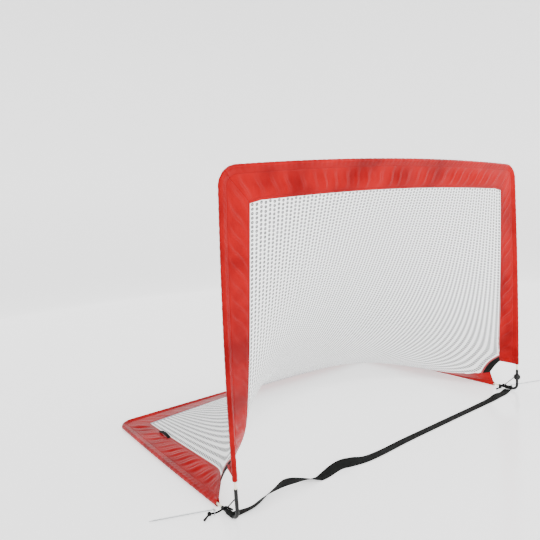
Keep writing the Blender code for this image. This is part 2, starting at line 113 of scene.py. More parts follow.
def toLinear(code):
    channels = [int(code[i:i + 2], 16) / 255 for i in (1, 3, 5)]
    return [c / 12.92 if c <= 0.04045 else ((c + 0.055) / 1.055) ** 2.4 for c in channels] + [1.0]


def addNode(tree, kind, settings=None, links=None):
    node = tree.nodes.new(kind)
    for key, value in (settings or {}).items():
        if isinstance(key, int) or key in node.inputs:
            node.inputs[key].default_value = value
        else:
            setattr(node, key, value)
    for key, socket in (links or {}).items():
        tree.links.new(socket, node.inputs[key])
    return node


def startMaterial(name, settings):
    mat = bpy.data.materials.new(name)
    mat.use_nodes = True
    shader = mat.node_tree.nodes["Principled BSDF"]
    for key, value in settings.items():
        shader.inputs[key].default_value = value
    return mat, mat.node_tree, shader


# Mixes two tones by a share, raises the surface by a height and spreads the roughness by the share.
def dress(tree, shader, share, tones, height=None, relief=None, rough=None):
    tone = addNode(tree, "ShaderNodeMix", {"data_type": "RGBA", 7: toLinear(tones[1])}, {0: share})
    if isinstance(tones[0], str):
        tone.inputs[6].default_value = toLinear(tones[0])
    else:
        tree.links.new(tones[0], tone.inputs[6])
    tree.links.new(tone.outputs[2], shader.inputs["Base Color"])
    if relief:
        raised = {"Strength": relief[0], "Distance": relief[1]}
        bump = addNode(tree, "ShaderNodeBump", raised, {"Height": height})
        tree.links.new(bump.outputs[0], shader.inputs["Normal"])
    if rough:
        spread = addNode(tree, "ShaderNodeMapRange", {"To Min": rough[0], "To Max": rough[1]}, {0: share})
        tree.links.new(spread.outputs[0], shader.inputs["Roughness"])


# A material that follows one pattern, laid along the piece or placed by the goal's own axes.
def patternMaterial(name, base, kind, pattern, tones, relief=None, rough=None, drawnOut=None, onLay=True):
    mat, tree, shader = startMaterial(name, base)
    if onLay:
        source = addNode(tree, "ShaderNodeUVMap", {"uv_map": "lay"}).outputs[0]
    else:
        source = addNode(tree, "ShaderNodeTexCoord").outputs["Object"]
    if drawnOut:
        source = addNode(tree, "ShaderNodeMapping", {"Scale": drawnOut}, {"Vector": source}).outputs[0]
    share = addNode(tree, kind, pattern, {"Vector": source}).outputs["Fac"]
    dress(tree, shader, share, tones, share, relief, rough)
    return mat


# A wave texture of this scale has one band a millimetre.
waveMm = 314.0

# Satin polyester taffeta, woven and calendered: a smooth red cloth with a fine crosswise thread.
satin = {"colour": "#920109", "shade": "#740107", "lit": "#A6020C", "stitch": "#6E040A", "threadMm": 0.9,
         "stitchMm": 3.0, "stitchGapMm": 0.8}
satinMat, tree, shader = startMaterial("satinPolyester", {
    "Roughness": 0.38, "IOR": 1.45, "Specular IOR Level": 0.12, "Specular Tint": (1.0, 0.6, 0.56, 1.0)})
lay = addNode(tree, "ShaderNodeUVMap", {"uv_map": "lay"}).outputs[0]
place = addNode(tree, "ShaderNodeTexCoord").outputs["Object"]
cloud = addNode(tree, "ShaderNodeTexNoise", {"Scale": 9.0, "Detail": 4.0}, {"Vector": place}).outputs["Fac"]
tone = addNode(tree, "ShaderNodeValToRGB", links={0: cloud})
low, high = tone.color_ramp.elements
low.position, low.color = 0.32, toLinear(satin["shade"])
high.position, high.color = 0.72, toLinear(satin["lit"])
tone.color_ramp.elements.new(0.5).color = toLinear(satin["colour"])
# Lock-stitch rows lie along attribute "seam": 1 on a row, 0 off it.
seam = addNode(tree, "ShaderNodeAttribute", {"attribute_name": "seam"})
dash = addNode(tree, "ShaderNodeSeparateXYZ", links={0: lay}).outputs[0]
for operation, level in (("PINGPONG", satin["stitchMm"]), ("GREATER_THAN", satin["stitchGapMm"])):
    dash = addNode(tree, "ShaderNodeMath", {"operation": operation, 1: level / 2000}, {0: dash}).outputs[0]
stitchOn = addNode(tree, "ShaderNodeMath", {"operation": "MULTIPLY"}, {0: seam.outputs["Fac"], 1: dash})
threads = addNode(tree, "ShaderNodeTexWave", {"Scale": waveMm / satin["threadMm"], "Distortion": 1.5,
                                              "Detail": 1.0, "bands_direction": "X"}, {"Vector": lay})
fuzz = addNode(tree, "ShaderNodeTexNoise", {"Scale": 420.0, "Detail": 3.0}, {"Vector": place})
relief = addNode(tree, "ShaderNodeMath", {"operation": "ADD"},
                 {0: threads.outputs["Fac"], 1: fuzz.outputs["Fac"]})
tones = (tone.outputs[0], satin["stitch"])
dress(tree, shader, stitchOn.outputs[0], tones, relief.outputs[0], (0.18, 0.0003))
rough = addNode(tree, "ShaderNodeMapRange", {"To Min": 0.26, "To Max": 0.38}, {0: cloud})
tree.links.new(rough.outputs[0], shader.inputs["Roughness"])

# Knitted polyester mesh, heat set: matt white yarn; the yarn loops ringing each opening are painted near
# black as shade.
knit = {"tones": ("#FBFCFC", "#0E0F10"), "yarnMm": 1.1}
netMat, tree, shader = startMaterial("knittedPolyesterPaintedShade", {
    "Roughness": 0.75, "IOR": 1.5, "Sheen Weight": 0.1})
# Attribute rim runs from 0 at a cell's border to 1 in its opening; from rim 0.42 on, the second tone paints
# the yarn in shade.
rim = addNode(tree, "ShaderNodeAttribute", {"attribute_name": "rim"})
paintedShadeShare = addNode(tree, "ShaderNodeMapRange", {"From Min": 0.42, "From Max": 0.55}, {0: rim.outputs["Fac"]})
place = addNode(tree, "ShaderNodeTexCoord").outputs["Object"]
fineness = {"Scale": 1000 / knit["yarnMm"], "Detail": 2.0}
yarn = addNode(tree, "ShaderNodeTexNoise", fineness, {"Vector": place})
dress(tree, shader, paintedShadeShare.outputs[0], knit["tones"], yarn.outputs["Fac"], (0.35, 0.0003))

# White polyester tape, plain woven: it binds the rear edge of the net. Its white is painted down to
# grey-blue as shade.
paintedShadeTapeMat = patternMaterial(
    "polyesterTapePaintedShade", {"Roughness": 0.6, "IOR": 1.5}, "ShaderNodeTexWave",
    {"Scale": waveMm / 1.2, "bands_direction": "X"}, ("#8F959C", "#B9BFC6"), (0.3, 0.0003))

# Polypropylene webbing, twill woven flat: near black, matt, with a slanting rib and a finer crosswise one.
webbing = {"tones": ("#040504", "#0F1110"), "ribMm": 1.6, "crossMm": 1.1}
webMat, tree, shader = startMaterial("polypropyleneWebbing", {
    "Roughness": 0.8, "IOR": 1.49, "Specular IOR Level": 0.15})
lay = addNode(tree, "ShaderNodeUVMap", {"uv_map": "lay"}).outputs[0]
twill = addNode(tree, "ShaderNodeTexWave", {"Scale": waveMm / webbing["ribMm"] / 1.41, "Distortion": 0.4,
                                            "bands_direction": "DIAGONAL"}, {"Vector": lay}).outputs["Fac"]
cross = addNode(tree, "ShaderNodeTexWave", {"Scale": waveMm / webbing["crossMm"], "bands_direction": "Y"},
                {"Vector": lay}).outputs["Fac"]
weave = addNode(tree, "ShaderNodeMath", {"operation": "ADD"}, {0: twill, 1: cross})
dress(tree, shader, twill, webbing["tones"], weave.outputs[0], (0.6, 0.0004))

# Nylon binding tape, grosgrain: dark red with fine crosswise ribs.
tapeRedMat = patternMaterial(
    "nylonBinding", {"Roughness": 0.5, "IOR": 1.53, "Sheen Weight": 0.15}, "ShaderNodeTexWave",
    {"Scale": waveMm / 1.0, "bands_direction": "X"}, ("#7E0910", "#A80F19"), (0.4, 0.0003))

# Extruded PVC hose: black, satin, with faint lengthwise draw lines and a little dust.
hoseMat = patternMaterial(
    "extrudedVinyl", {"Roughness": 0.34, "IOR": 1.53, "Specular IOR Level": 0.22}, "ShaderNodeTexNoise",
    {"Scale": 1.0, "Detail": 2.0}, ("#040405", "#0C0C0D"), (0.2, 0.0002), (0.24, 0.46), (14.0, 900.0, 1.0))

# Moulded ABS: the ball stop, black with a fine spark-eroded grain.
absMat = patternMaterial(
    "mouldedAbs", {"Roughness": 0.42, "IOR": 1.54, "Specular IOR Level": 0.25}, "ShaderNodeTexNoise",
    {"Scale": 1400.0, "Detail": 3.0}, ("#050506", "#0D0D0E"), (0.35, 0.0002), onLay=False)

# Pultruded fibreglass rod: cream resin over straight glass fibres, slightly satin.
glassMat = patternMaterial(
    "pultrudedFibreglass", {"Roughness": 0.38, "IOR": 1.52}, "ShaderNodeTexNoise",
    {"Scale": 1.0, "Detail": 3.0}, ("#D9CFAE", "#F3EDD8"), (0.25, 0.0002), drawnOut=(9.0, 1600.0, 1.0))

# Zinc-plated steel wire, drawn then plated: pale grey with soft spangle and small scuffs.
zincMat = patternMaterial(
    "zincPlatedWire", {"Metallic": 1.0, "Roughness": 0.34}, "ShaderNodeTexNoise",
    {"Scale": 260.0, "Detail": 4.0}, ("#A9ACAE", "#D2D4D5"), rough=(0.25, 0.48), onLay=False)

# Braided polyester cord: black, matt, with a slanting braid about 2 mm long.
cordMat = patternMaterial(
    "braidedPolyester", {"Roughness": 0.75, "IOR": 1.5, "Specular IOR Level": 0.15}, "ShaderNodeTexWave",
    {"Scale": waveMm / 2.0, "Distortion": 0.5, "bands_direction": "DIAGONAL"}, ("#040404", "#111112"),
    (0.7, 0.0005))
print("materials made")


def addPiece(name, verts, faces, mat, uv=None):
    mesh = bpy.data.meshes.new(name)
    mesh.from_pydata([tuple(v) for v in verts], [], [tuple(f) for f in faces])
    mesh.materials.append(mat)
    if uv is not None:
        layer = mesh.uv_layers.new(name="lay")
        corner = np.zeros(len(mesh.loops), np.int32)
        mesh.loops.foreach_get("vertex_index", corner)
        layer.data.foreach_set("uv", np.asarray(uv, np.float32)[corner].ravel())
    mesh.validate()
    mesh.shade_smooth()
    piece = bpy.data.objects.new(name, mesh)
    collection.link(piece)
    return piece


def readPoints(piece):
    co = np.zeros(len(piece.data.vertices) * 3, np.float32)
    piece.data.vertices.foreach_get("co", co)
    return co.reshape(-1, 3)


def markPoints(piece, name, values):
    attribute = piece.data.attributes.get(name) or piece.data.attributes.new(name, "FLOAT", "POINT")
    attribute.data.foreach_set("value", np.asarray(values, np.float32))


# Skin through rings of points. u runs along the rings and v round them, in metres.
def loftPiece(name, rings, mat, closed=False):
    rings = np.asarray(rings, float)
    count, around = rings.shape[:2]
    centres = rings.mean(1)
    along = np.concatenate([[0], np.cumsum(np.linalg.norm(np.diff(centres, axis=0), axis=1))])
    steps = np.linalg.norm(np.roll(rings, -1, axis=1) - rings, axis=2).mean(0)
    round_ = np.concatenate([[0], np.cumsum(steps)[:-1]])
    uv = np.stack(np.broadcast_arrays(along[:, None], round_[None, :]), 2).reshape(-1, 2)
    last = count if closed else count - 1
    i, j = np.meshgrid(np.arange(last), np.arange(around), indexing="ij")
    a, b = i * around + j, i * around + (j + 1) % around
    c, d = (i + 1) % count * around + (j + 1) % around, (i + 1) % count * around + j
    faces = np.stack([a, d, c, b], 2).reshape(-1, 4).tolist()
    if not closed:
        faces.append(list(range(around)))
        faces.append([(count - 1) * around + j for j in reversed(range(around))])
    return addPiece(name, rings.reshape(-1, 3), faces, mat, uv)


def distances(points):
    return np.concatenate([[0], np.cumsum(np.linalg.norm(np.diff(points[:, :3], axis=0), axis=1))])


def resample(points, count):
    length = distances(points)
    wanted = np.linspace(0, length[-1], count)
    return np.stack([np.interp(wanted, length, column) for column in points.T], 1)


# Catmull-Rom curve through a few chosen points.
def smoothLine(points, count):
    pts = np.asarray(points, float)
    pts = np.concatenate([[2 * pts[0] - pts[1]], pts, [2 * pts[-1] - pts[-2]]])
    fine = []
    for a, b, c, d in zip(pts[:-3], pts[1:-2], pts[2:-1], pts[3:]):
        for t in np.linspace(0, 1, 12, endpoint=False):
            fine.append(0.5 * (2 * b + (c - a) * t + (2 * a - 5 * b + 4 * c - d) * t**2
                               + (3 * b - a - 3 * c + d) * t**3))
    fine.append(pts[-2])
    return resample(np.array(fine), count)


# Side directions along a line that turn as little as they can.
def frames(line):
    along = unit(np.gradient(line, axis=0))
    first = np.cross(along[0], (0, 0, 1.0))
    if np.linalg.norm(first) < 0.1:
        first = np.cross(along[0], (0, 1.0, 0))
    sides = [unit(first)]
    for t in along[1:]:
        sides.append(unit(sides[-1] - t * (sides[-1] @ t)))
    sides = np.array(sides)
    return along, sides, np.cross(along, sides)


# Round bar or pipe along a line. With a wall it is open at both ends, to the depth of the bore.
def tubeRings(line, radius, sides=20, wall=0.0, depth=0.02, lip=0.0004):
    line = np.asarray(line, float)
    along, side, up = frames(line)
    turn = roundTurn(sides)
    circle = np.stack([np.cos(turn), np.sin(turn)], 1)
    radius = np.broadcast_to(radius, len(line)).astype(float)

    def ring(centre, k, r):
        return centre + r * (circle[:, :1] * side[k] + circle[:, 1:] * up[k])

    rings = [ring(line[0], 0, radius[0] - lip)]
    rings += [ring(line[0] + along[0] * lip, 0, radius[0])]
    rings += [ring(p, k + 1, radius[k + 1]) for k, p in enumerate(line[1:-1])]
    rings += [ring(line[-1] - along[-1] * lip, -1, radius[-1]), ring(line[-1], -1, radius[-1] - lip)]
    if wall:
        first, last = radius[0] - wall, radius[-1] - wall
        front = [ring(line[0] + along[0] * depth, 0, first), ring(line[0], 0, first)]
        back = [ring(line[-1], -1, last), ring(line[-1] - along[-1] * depth, -1, last)]
        rings = front + rings + back
    return np.array(rings)


def postPoint(side, z):
    t = z / goal["height"]
    out = goal["halfWidth"] - goal["topInset"] * t + goal["postBow"] * math.sin(math.pi * min(t, 1.0))
    return np.array([side * out, goal["mouthY"], z])


def crossbarPoint(x):
    u = x / (goal["halfWidth"] - goal["topInset"])
    return np.array([x, goal["mouthY"], goal["height"] + goal["crossbarRise"] * (1 - u * u)])


def railPoint(side, y):
    t = (y - goal["mouthY"]) / (goal["rearY"] - goal["mouthY"])
    out = goal["halfWidth"] - goal["rearInset"] * t + goal["railBow"] * math.sin(math.pi * t)
    return np.array([side * out, y, goal["rodZ"]])


def rearPoint(x):
    return np.array([x, goal["rearY"], goal["rodZ"]])


def cornerArc(corner, towardA, towardB, radius, count):
    a, b = unit(towardA), unit(towardB)
    half = 0.5 * math.acos(float(np.clip(a @ b, -1, 1)))
    centre = corner + unit(a + b) * radius / math.sin(half)
    start = corner + a * radius / math.tan(half) - centre
    end = corner + b * radius / math.tan(half) - centre
    turn = math.acos(float(np.clip(start @ end / radius**2, -1, 1)))
    steps = np.linspace(0, 1, count)[:, None]
    return centre + (np.sin((1 - steps) * turn) * start + np.sin(steps * turn) * end) / math.sin(turn)


def hoopArc(side, limb, limbEnd, bar, inset):
    reach = goal["halfWidth"] - inset
    corner = bar(side * reach)
    return cornerArc(corner, limb(side, limbEnd - 0.1) - corner, bar(side * (reach - 0.1)) - corner,
                     goal["cornerRadius"], 17)


def topArc(side):
    return hoopArc(side, postPoint, goal["height"], crossbarPoint, goal["topInset"])


def rearArc(side):
    return hoopArc(side, railPoint, goal["rearY"], rearPoint, goal["rearInset"])


# How hard the net pulls across, along and at a free edge as it settles to a saddle.
netPull = {"across": 1.0, "along": 2.0, "edge": 6.0}


def settle(grid, freeEdge, rounds):
    across, along, edge = netPull["across"], netPull["along"], netPull["edge"]
    for _ in range(rounds):
        inner = across * (grid[:-2, 1:-1] + grid[2:, 1:-1]) + along * (grid[1:-1, :-2] + grid[1:-1, 2:])
        hems = []
        for row, beside in ((0, 1), (-1, -2)):
            hem = edge * (grid[row, freeEdge - 1] + grid[row, freeEdge + 1])
            hems.append((hem + across * grid[beside, freeEdge]) / (2 * edge + across))
        grid[1:-1, 1:-1] = inner / (2 * (across + along))
        grid[0, freeEdge] = hems[0]
        grid[-1, freeEdge] = hems[1]
    return grid


def stretched(left, freeEdge, top, rear, rounds):
    right = left * np.array([-1, 1, 1])
    across = np.linspace(0, 1, len(top))[:, None, None]
    along = np.linspace(0, 1, len(left))[None, :, None]
    grid = 0.5 * (left * (1 - across) + right * across)
    grid += 0.5 * (top[:, None] * (1 - along) + rear[:, None] * along)
    grid[0], grid[-1], grid[:, 0], grid[:, -1] = left, right, top, rear
    return settle(grid, freeEdge, rounds)


def stepIn(lines, width):
    found = []
    for line in lines:
        away = np.linalg.norm(line - line[0], axis=1)
        k = max(int(np.argmax(away >= width)), 1)
        found.append(line[k - 1] + (line[k] - line[k - 1]) * (width - away[k - 1]) / (away[k] - away[k - 1]))
    return np.array(found)


def cutAt(path, axis, level):
    value = path[:, axis]
    k = int(np.argmax((value[1:] - level) * (value[:-1] - level) <= 0))
    t = (level - value[k]) / (value[k + 1] - value[k])
    return np.concatenate([path[: k + 1], [path[k] + (path[k + 1] - path[k]) * t]])


# Inner edges of the sleeves' left half, where the net starts.
def innerLines():
    posts, webs, rails, widths = 28, 5, 26, 33
    left = np.array([postPoint(-1, z) for z in np.linspace(goal["height"], goal["postSleeveZ"], posts)])
    ys = np.linspace(goal["mouthY"] + goal["railSleeveY"], goal["rearY"], rails)
    rail = np.array([railPoint(-1, y) for y in ys])
    gap = left[-1] + (rail[0] - left[-1]) * np.linspace(0, 1, webs + 2)[1:-1, None]
    left = np.concatenate([left, gap, rail])
    reach = np.linspace(-1, 1, widths)
    top = np.array([crossbarPoint(u * (goal["halfWidth"] - goal["topInset"])) for u in reach])
    rear = np.array([rearPoint(u * (goal["halfWidth"] - goal["rearInset"])) for u in reach])
    film = stretched(left, np.arange(posts, posts + webs), top, rear, 3500)
    band = goal["bandWidth"]
    sideIn, topIn, rearIn = [stepIn(lines, band) for lines in (film.swapaxes(0, 1), film, film[:, ::-1])]
    post = cutAt(sideIn[:posts][::-1], 2, goal["height"] - band)
    rail = cutAt(sideIn[posts + webs:], 1, goal["rearY"] - band)
    half = len(topIn) // 2 + 1
    top = np.concatenate([[post[-1]], topIn[:half][topIn[:half, 0] > post[-1][0]]])
    rear = np.concatenate([[rail[-1]], rearIn[:half][rearIn[:half, 0] > rail[-1][0]]])
    return {"post": post, "rail": rail, "top": top, "rear": rear}


def mirrored(path, side):
    return path * np.array([-side, 1, 1])


def whole(half):
    return np.concatenate([half, mirrored(half[:-1], 1)[::-1]])


def spreadLike(path, model):
    share = distances(model)
    length = distances(path)
    wanted = share / share[-1] * length[-1]
    return np.stack([np.interp(wanted, length, path[:, k]) for k in range(3)], 1)


# The lower corners of the sleeves are drawn toward the foot. Offsets are from the end of each rod pocket.
lowerCorner = {"post": (0.016, 0.056, 0.004), "rail": (0.016, 0.006, 0.048), "pull": 0.060}


def drawnTo(path, place):
    ease = np.clip(1 - distances(path) / lowerCorner["pull"], 0, 1)[:, None]
    return path + (place - path[0]) * ease * ease


inner = innerLines()
railStart = goal["mouthY"] + goal["railSleeveY"]
inner["post"] = drawnTo(inner["post"], postPoint(-1, goal["postSleeveZ"]) + lowerCorner["post"])
inner["rail"] = drawnTo(inner["rail"], railPoint(-1, railStart) + lowerCorner["rail"])
print("net film settled")


# Cloth between the hoops folds like a fan: each point turns by its own height round the fold joint's axis.
def foldCloth(piece):
    start, end = (0, foldY + 0.02, foldZ), (0, foldY, foldZ + 0.02)
    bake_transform(piece, "base", "mouth", start=start, end=end)
    co = readPoints(piece)
    lift = np.degrees(np.arctan2(co[:, 2] - foldZ, co[:, 1] - foldY))
    lift = np.where(lift < -90, lift + 360, lift)
    markPoints(piece, "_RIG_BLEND", np.clip(lift / 90, 0, 1))


# Sleeves: a pocket sewn round the rod and a flat double band out to the net, pulled into slanting creases.
sleeve = {
    "pocketRadius": 0.0062,
    "seamOut": 0.0150,      # stitch row that closes the pocket
    "hemIn": 0.0065,        # stitch row that holds the net, in from the band's edge
    "bandHalf": 0.0009,
    "creaseEvery": 0.043,
    "creaseDepth": 0.0024,
    "creaseSlant": 0.75,    # how many creases a crease crosses on its way over the band
    "flatEnds": 0.018,      # creases die out over this much at each end
    "pucker": 0.0004,
    "ringStep": 0.0024,
    "lipIn": 0.012,         # how far the turned-in hem goes up the pocket
}


def sleeveProfile(width):
    pocket, seam, hem = sleeve["pocketRadius"], sleeve["seamOut"], width - sleeve["hemIn"]
    turn = np.radians(np.linspace(42, 318, 15))
    lower = [(pocket * math.cos(a), pocket * math.sin(a)) for a in turn]
    knots = np.array([seam - 0.0022, seam - 0.0008, seam, seam + 0.0008, seam + 0.006, hem - 0.004,
                      hem - 0.0012, hem, hem + 0.0012, width - 0.0022, width - 0.0006])
    out = np.concatenate([knots[:4], [seam + 0.004], np.linspace(seam + 0.010, hem - 0.006, 8), knots[6:]])
    puff = sleeve["bandHalf"]
    half = np.interp(out, knots, [0.0016, 0.0009, 0.00045, 0.0009, puff, puff,
                                  0.0010, 0.00055, 0.0012, 0.0012, 0.0006])
    under = list(zip(out, -half))
    over = list(zip(out[::-1], half[::-1]))
    profile = np.array(lower + under + [(width, 0.0)] + over)
    rows = np.abs(profile[:, 0] - seam) < 0.0004
    rows |= np.abs(profile[:, 0] - hem) < 0.0004
    return profile, rows


def makeSleeve(name, outer, innerEdge, seed, strength, openFoot=False):
    rng = np.random.default_rng(seed)
    length = distances(outer)[-1]
    count = int(length / sleeve["ringStep"])
    outerFine = smoothLine(outer, count)
    innerFine = resample(smoothLine(spreadLike(innerEdge, outer), count * 2), count)
    along = unit(np.gradient(outerFine, axis=0))
    across = unit(innerFine - outerFine)
    normal = unit(np.cross(along, across))
    s = distances(outerFine)
    phase = rng.uniform(0, 2 * math.pi, 8)
    # Slow waves along the sleeve, by their lengths in metres, shift the creases and vary how deep they are.
    slow = [np.sin(2 * math.pi * s / length + p) for length, p in zip((0.33, 0.151, 0.217, 0.371), phase)]
    wobble = 0.9 * slow[0] + 0.5 * slow[1]
    drawn = 0.62 + 0.38 * slow[2] * slow[3]
    fromEnd = np.minimum(s, s[-1] - s)
    drawn = strength * drawn * np.clip(fromEnd / sleeve["flatEnds"], 0, 1)
    rings, seams = [], []
    for k in range(count):
        side = unit(across[k] - along[k] * (across[k] @ along[k]))
        slant = across[k] / (across[k] @ side)
        width = (innerFine[k] - outerFine[k]) @ side
        profile, rows = sleeveProfile(width)
        a, b = profile[:, 0].copy(), profile[:, 1].copy()
        q = np.clip((a - sleeve["seamOut"]) / (width - sleeve["hemIn"] - sleeve["seamOut"]), 0, 1)
        turns = s[k] / sleeve["creaseEvery"] + sleeve["creaseSlant"] * (q + 0.16 * np.sin(2 * math.pi * q))
        angle = 2 * math.pi * turns + wobble[k]
        crease = np.sin(angle) + 0.4 * np.sin(2 * angle + phase[4]) + 0.25 * np.sin(0.5 * angle + phase[5])
        crease = crease + 0.9 * (np.exp(-((np.sin(angle / 2 + 0.4)) / 0.16) ** 2) - 0.09)
        b += sleeve["creaseDepth"] * drawn[k] * crease * np.sin(math.pi * q) ** 0.8
        onPocket = a < sleeve["seamOut"] - 0.003
        around = np.arctan2(b, a)
        gather = np.sin(2 * math.pi * s[k] / 0.0163 + 1.3 * around + phase[6])
        gather = gather + 0.7 * np.sin(2 * math.pi * s[k] / 0.0271 - 1.1 * around + phase[7])
        swell = np.where(onPocket, 1 + sleeve["pucker"] * gather / sleeve["pocketRadius"] * 0.6, 1)
        a, b = a * swell, b * swell
        rings.append(outerFine[k] + np.outer(a, slant) + np.outer(b, normal[k]))
        seams.append(rows.astype(float))
    # A turned-in hem closes the end at the foot: a lip, then the inside of the pocket.
    if openFoot:
        pulled = outerFine[0] + (rings[0] - outerFine[0]) * 0.93
        rings = [pulled + along[0] * sleeve["lipIn"], pulled] + rings
        seams = [np.zeros(len(pulled))] * 2 + seams
    piece = loftPiece(name, rings, satinMat)
    markPoints(piece, "seam", np.concatenate(seams))
    foldCloth(piece)
    return piece


# Half the straight length of the top and rear bars, between their corner arcs.
topReach = goal["halfWidth"] - goal["topInset"] - goal["cornerRadius"]
rearReach = goal["halfWidth"] - goal["rearInset"] - goal["cornerRadius"]
reach = np.linspace(-1, 1, 41)
topBar = np.array([crossbarPoint(x) for x in reach * topReach])
rearBar = np.array([rearPoint(x) for x in reach * rearReach])
topOuter = np.concatenate([topArc(-1)[8:-1], topBar, topArc(1)[8:-1][::-1]])
rearOuter = np.concatenate([rearArc(-1)[8:-1], rearBar, rearArc(1)[8:-1][::-1]])
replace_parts(makeSleeve("crossbarSleeve", topOuter, whole(inner["top"]), 3, 1.15), "crossbar_sleeve")
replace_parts(makeSleeve("rearSleeve", rearOuter, whole(inner["rear"]), 5, 0.7), "rear_sleeve")
limbs = {
    "post": (postPoint, goal["postSleeveZ"], goal["height"], topArc, 7, 0.8),
    "rail": (railPoint, railStart, goal["rearY"], rearArc, 11, 0.6),
}
for side, word in bothSides:
    for limb, (point, start, end, arc, seed, strength) in limbs.items():
        ways = np.linspace(start, end - goal["cornerRadius"], 30)
        outer = np.concatenate([[point(side, w) for w in ways], arc(side)[1:9]])
        piece = makeSleeve(f"{word}{limb.title()}Sleeve", outer, mirrored(inner[limb], side), seed + side,
                           strength, True)
        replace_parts(piece, f"{limb}_sleeve_{word}")
print("sleeves made")

# Net: knitted from the crossbar to the rear bar and from side to side, with staggered oval openings.
net = {
    "cellAcross": 0.0140,
    "cellAlong": 0.0080,
    "holeAcross": 0.0074,
    "holeAlong": 0.0052,
    "stagger": 0.12,        # openings sit this share of a cell up or down by turns
    "swell": 1.06,
    "throat": 0.30,         # clear part of each opening inside its ring of yarn loops painted in shade
    "thick": 0.0007,
    "tuckIn": 0.0040,       # how far its edge is sewn into the sleeves
    "patchArm": 0.0320,     # the corner patch and its binding take this much of each inner edge
    "flat": (1.09, 1.02),
    "panels": 5,
}


def walk(path, distance):
    length = distances(path)
    return np.array([np.interp(distance, length, path[:, k]) for k in range(3)])


postFrom, railFrom = walk(inner["post"], net["patchArm"]), walk(inner["rail"], net["patchArm"])
foot = np.array([-goal["halfWidth"], goal["mouthY"], goal["rodZ"]])
bulge = unit((postFrom + railFrom) / 2 - foot)
ease = np.linspace(0, 1, 25)[:, None]
arch = np.sin(math.pi * ease) * bulge
freeLine = inner["post"][0] + (inner["rail"][0] - inner["post"][0]) * ease + arch * 0.002
netLine = postFrom + (railFrom - postFrom) * ease + arch * 0.009
leftEdge = np.concatenate([inner["post"][inner["post"][:, 2] > postFrom[2] + 0.004][::-1], netLine,
                           inner["rail"][inner["rail"][:, 1] > railFrom[1] + 0.004]])
leftEdge = resample(leftEdge, 61)
topEdge, rearEdge = resample(whole(inner["top"]), 51), resample(whole(inner["rear"]), 51)
surface = stretched(leftEdge, np.arange(0), topEdge, rearEdge, 4000)


# Points of the film at shares u across it and v along it.
def onNet(u, v):
    rows, columns = surface.shape[:2]
    x, y = np.clip(u, 0, 1) * (rows - 1), np.clip(v, 0, 1) * (columns - 1)
    i, j = np.minimum(x.astype(int), rows - 2), np.minimum(y.astype(int), columns - 2)
    fx, fy = (x - i)[..., None], (y - j)[..., None]
    return (surface[i, j] * (1 - fx) * (1 - fy) + surface[i + 1, j] * fx * (1 - fy)
            + surface[i, j + 1] * (1 - fx) * fy + surface[i + 1, j + 1] * fx * fy)


normals = unit(np.cross(np.gradient(surface, axis=0), np.gradient(surface, axis=1)))


def netNormal(u, v):
    rows, columns = surface.shape[:2]
    i = np.clip(np.rint(u * (rows - 1)).astype(int), 0, rows - 1)
    j = np.clip(np.rint(v * (columns - 1)).astype(int), 0, columns - 1)
    return normals[i, j]


# Columns first to last of the net's cells, as one closed knitted skin with real openings.
def makeNetPart(name, first, last, columns, rows):
    turn = roundTurn(8) + math.pi / 8
    holeU, holeV = net["holeAcross"] / net["cellAcross"] / 2, net["holeAlong"] / net["cellAlong"] / 2
    square = [(0.5, 0.25), (0.25, 0.5), (-0.25, 0.5), (-0.5, 0.25),
              (-0.5, -0.25), (-0.25, -0.5), (0.25, -0.5), (0.5, -0.25)]
    corners = [(0.5, 0.5), (-0.5, 0.5), (-0.5, -0.5), (0.5, -0.5)]
    hole = np.stack([holeU * np.cos(turn), holeV * np.sin(turn)], 1) * net["swell"]
    throat = hole * net["throat"]
    verts, rim, index, faces = [], [], {}, []

    def vertex(u, v, shade):
        key = (round(u * 4), round(v * 4))
        if shade == 0 and key in index:
            return index[key]
        verts.append((u, v))
        rim.append(shade)
        if shade == 0:
            index[key] = len(verts) - 1
        return len(verts) - 1

    def cellRing(c, r, outline, shade, shift=0.0):
        return [vertex(c + 0.5 + a, r + 0.5 + b + shift, shade) for a, b in outline]

    for c in range(first, last):
        shift = net["stagger"] if c % 2 else -net["stagger"]
        for r in range(rows):
            ringOut, cellCorners = cellRing(c, r, square, 0), cellRing(c, r, corners, 0)
            ringMid, ringIn = cellRing(c, r, hole, 0.5, shift), cellRing(c, r, throat, 1, shift)
            for k in range(8):
                n = (k + 1) % 8
                if k % 2 == 0:
                    faces.append((ringOut[k], cellCorners[k // 2], ringOut[n], ringMid[n], ringMid[k]))
                else:
                    faces.append((ringOut[k], ringOut[n], ringMid[n], ringMid[k]))
                faces.append((ringMid[k], ringMid[n], ringIn[n], ringIn[k]))
    flat = np.array(verts, float)
    u, v = flat[:, 0] / columns, flat[:, 1] / rows
    points = onNet(u, v)
    facing = netNormal(u, v)
    edge = np.minimum.reduce([u * columns, (1 - u) * columns, v * rows, (1 - v) * rows])
    middle = onNet(np.clip(u, 0.02, 0.98), np.clip(v, 0.02, 0.98))
    outward = unit(points - middle) * np.where(edge < 1e-6, net["tuckIn"], 0)[:, None]
    points = points + np.nan_to_num(outward)
    shade = np.array(rim, float)
    half = net["thick"] / 2 * (1 - 0.35 * shade)[:, None]
    top, bottom = points + facing * half, points - facing * half
    count = len(points)
    allFaces = [tuple(reversed(f)) for f in faces]
    allFaces += [tuple(i + count for i in f) for f in faces]
    # Edges used in one direction only are the rims of the openings and the panel's own edge.
    used = dict.fromkeys(pair for f in faces for pair in zip(f, f[1:] + f[:1]))
    for a, b in used:
        if (b, a) not in used:
            allFaces.append((b, b + count, a + count, a)[::-1])
    piece = addPiece(name, np.concatenate([top, bottom]), allFaces, netMat)
    # Attribute rim tells the net material where to paint shade round each opening.
    markPoints(piece, "rim", np.tile(shade, 2))
    return piece


